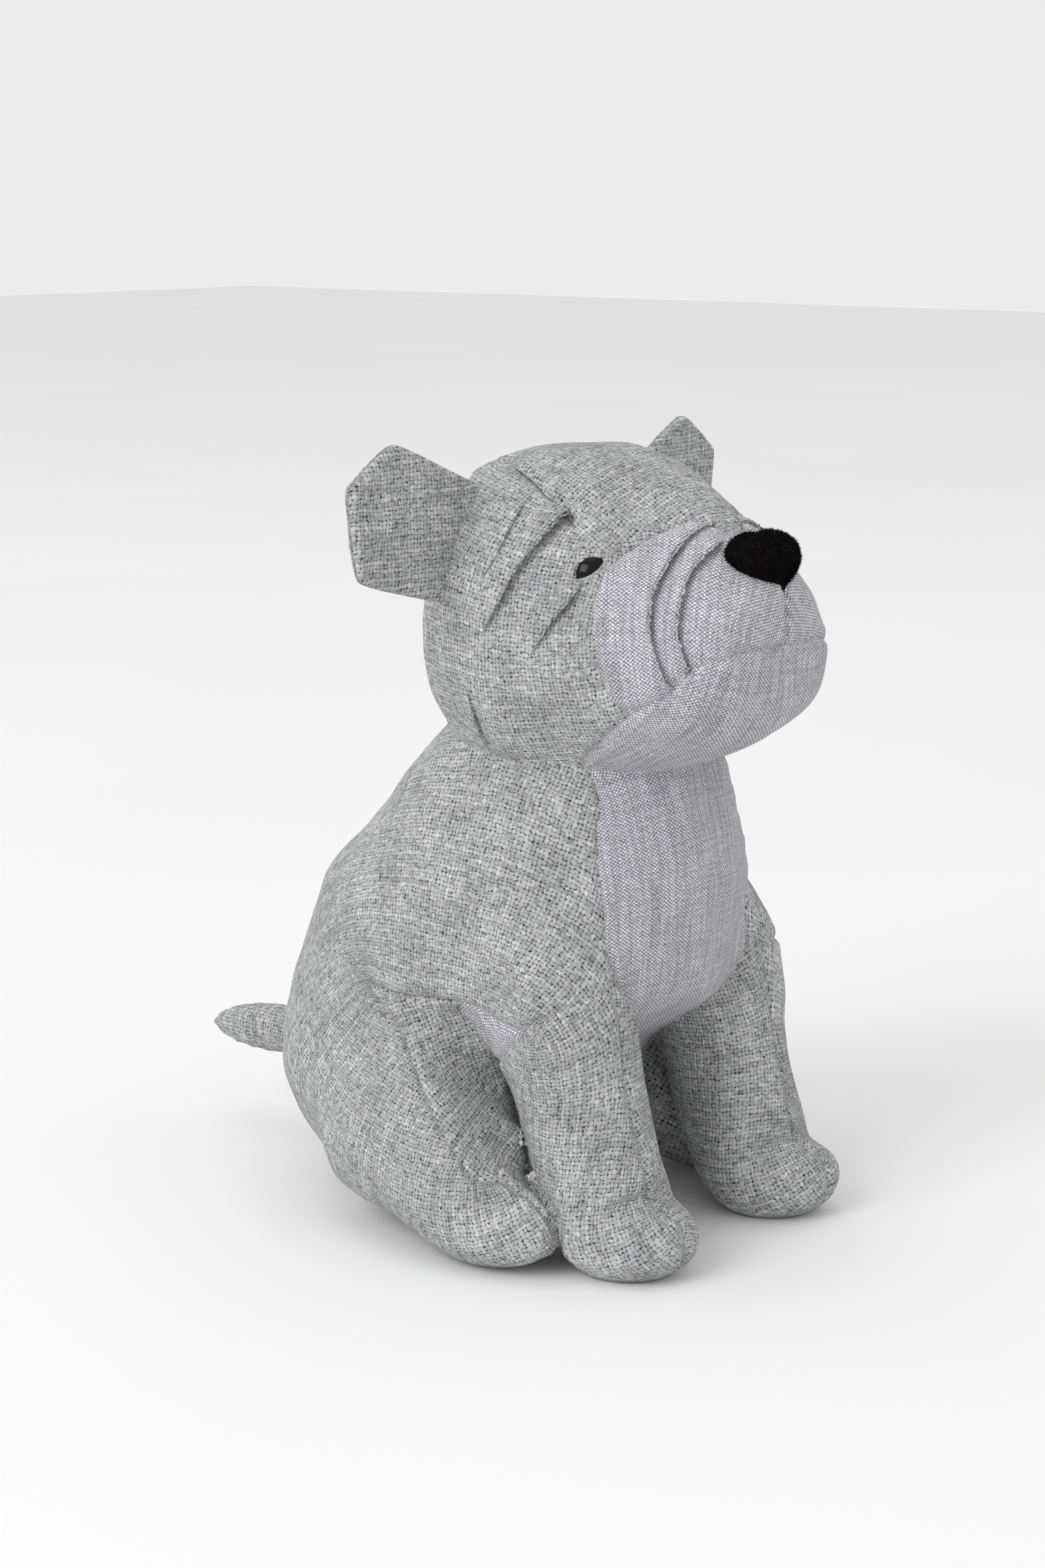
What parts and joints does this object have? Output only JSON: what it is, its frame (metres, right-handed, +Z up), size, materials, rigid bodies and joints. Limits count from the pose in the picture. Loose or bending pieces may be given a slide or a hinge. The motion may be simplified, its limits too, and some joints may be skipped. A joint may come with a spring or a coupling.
{
  "type": "plush dog",
  "caption": "Sitting stuffed toy dog with tweed and chambray panels, flat upright ears, fur nose and short tail; neck, ears, front legs and tail flex.",
  "frame": {"origin": "on the floor under the middle of the toy's overall width and length", "axes": "+Z up; the dog faces -Y; +X is the dog's own left side"},
  "size_m": [0.192, 0.258, 0.2665],
  "materials": {
    "tweed": "coarse woven, matt",
    "chambray": "fine woven, matt",
    "nose_fur": "short pile",
    "eye_plastic": "polished",
    "washer_plastic": "moulded",
    "calico": "plain woven",
    "pellets": "moulded beads",
    "fibre_fill": "loose fibre"
  },
  "bodies": {
    "torso": {"body_side_left": "tweed", "body_side_right": "tweed", "chest_belly_panel": "chambray", "inner_thigh_left": "tweed", "inner_thigh_right": "tweed", "base_panel": "tweed", "torso_filling": "fibre_fill", "weight_bag": "calico", "weight_pellets": "pellets"},
    "neck": {"neck_filling": "fibre_fill"},
    "head": {"crown_panel": "tweed", "cheek_left": "tweed", "cheek_right": "tweed", "muzzle_left": "chambray", "muzzle_right": "chambray", "chin_panel": "chambray", "head_filling": "fibre_fill", "nose_cover": "nose_fur", "nose_filling": "fibre_fill", "eye_left": "eye_plastic", "eye_right": "eye_plastic", "eye_washer_left": "washer_plastic", "eye_washer_right": "washer_plastic"},
    "ear_left": {"ear_front_left": "tweed", "ear_back_left": "tweed"},
    "ear_right": {"ear_front_right": "tweed", "ear_back_right": "tweed"},
    "tail": {"tail_left_half": "tweed", "tail_right_half": "tweed", "tail_filling": "fibre_fill"},
    "front_leg_left": {"front_leg_outer_left": "tweed", "front_leg_inner_left": "tweed", "front_leg_filling_left": "fibre_fill"},
    "front_leg_right": {"front_leg_outer_right": "tweed", "front_leg_inner_right": "tweed", "front_leg_filling_right": "fibre_fill"}
  },
  "joints": [
    {"name": "neck_turn", "type": "hinge", "parent": "torso", "child": "neck", "pos_m": [0, -0.04588, 0.158], "axis": [0, 0, 1], "range_deg": [-20, 20], "stiffness_Nm_per_rad": 2, "deforming": ["body_side_left", "body_side_right", "chest_belly_panel"]},
    {"name": "neck_nod", "type": "hinge", "parent": "neck", "child": "head", "pos_m": [0, -0.04588, 0.158], "axis": [1, 0, 0], "range_deg": [-10, 10], "stiffness_Nm_per_rad": 4},
    {"name": "ear_left_flap", "type": "hinge", "parent": "head", "child": "ear_left", "pos_m": [0.0505, -0.03378, 0.2315], "axis": [-0.4359, -0.0667, 0.8975], "range_deg": [-25, 35], "stiffness_Nm_per_rad": 0.03},
    {"name": "ear_right_flap", "type": "hinge", "parent": "head", "child": "ear_right", "pos_m": [-0.0505, -0.03378, 0.2315], "axis": [0.4359, -0.0667, 0.8975], "range_deg": [-35, 25], "stiffness_Nm_per_rad": 0.03},
    {"name": "tail_wag", "type": "hinge", "parent": "torso", "child": "tail", "pos_m": [0, 0.06012, 0.0355], "axis": [0, 0, 1], "range_deg": [-30, 30], "stiffness_Nm_per_rad": 0.06, "deforming": ["tail_left_half", "tail_right_half"]},
    {"name": "front_leg_left_lift", "type": "hinge", "parent": "torso", "child": "front_leg_left", "pos_m": [0.042, -0.05388, 0.096], "axis": [-1, 0, 0], "range_deg": [0, 25], "stiffness_Nm_per_rad": 0.6, "deforming": ["front_leg_outer_left", "front_leg_inner_left"]},
    {"name": "front_leg_right_lift", "type": "hinge", "parent": "torso", "child": "front_leg_right", "pos_m": [-0.042, -0.05388, 0.096], "axis": [-1, 0, 0], "range_deg": [0, 25], "stiffness_Nm_per_rad": 0.6, "deforming": ["front_leg_outer_right", "front_leg_inner_right"]}
  ]
}
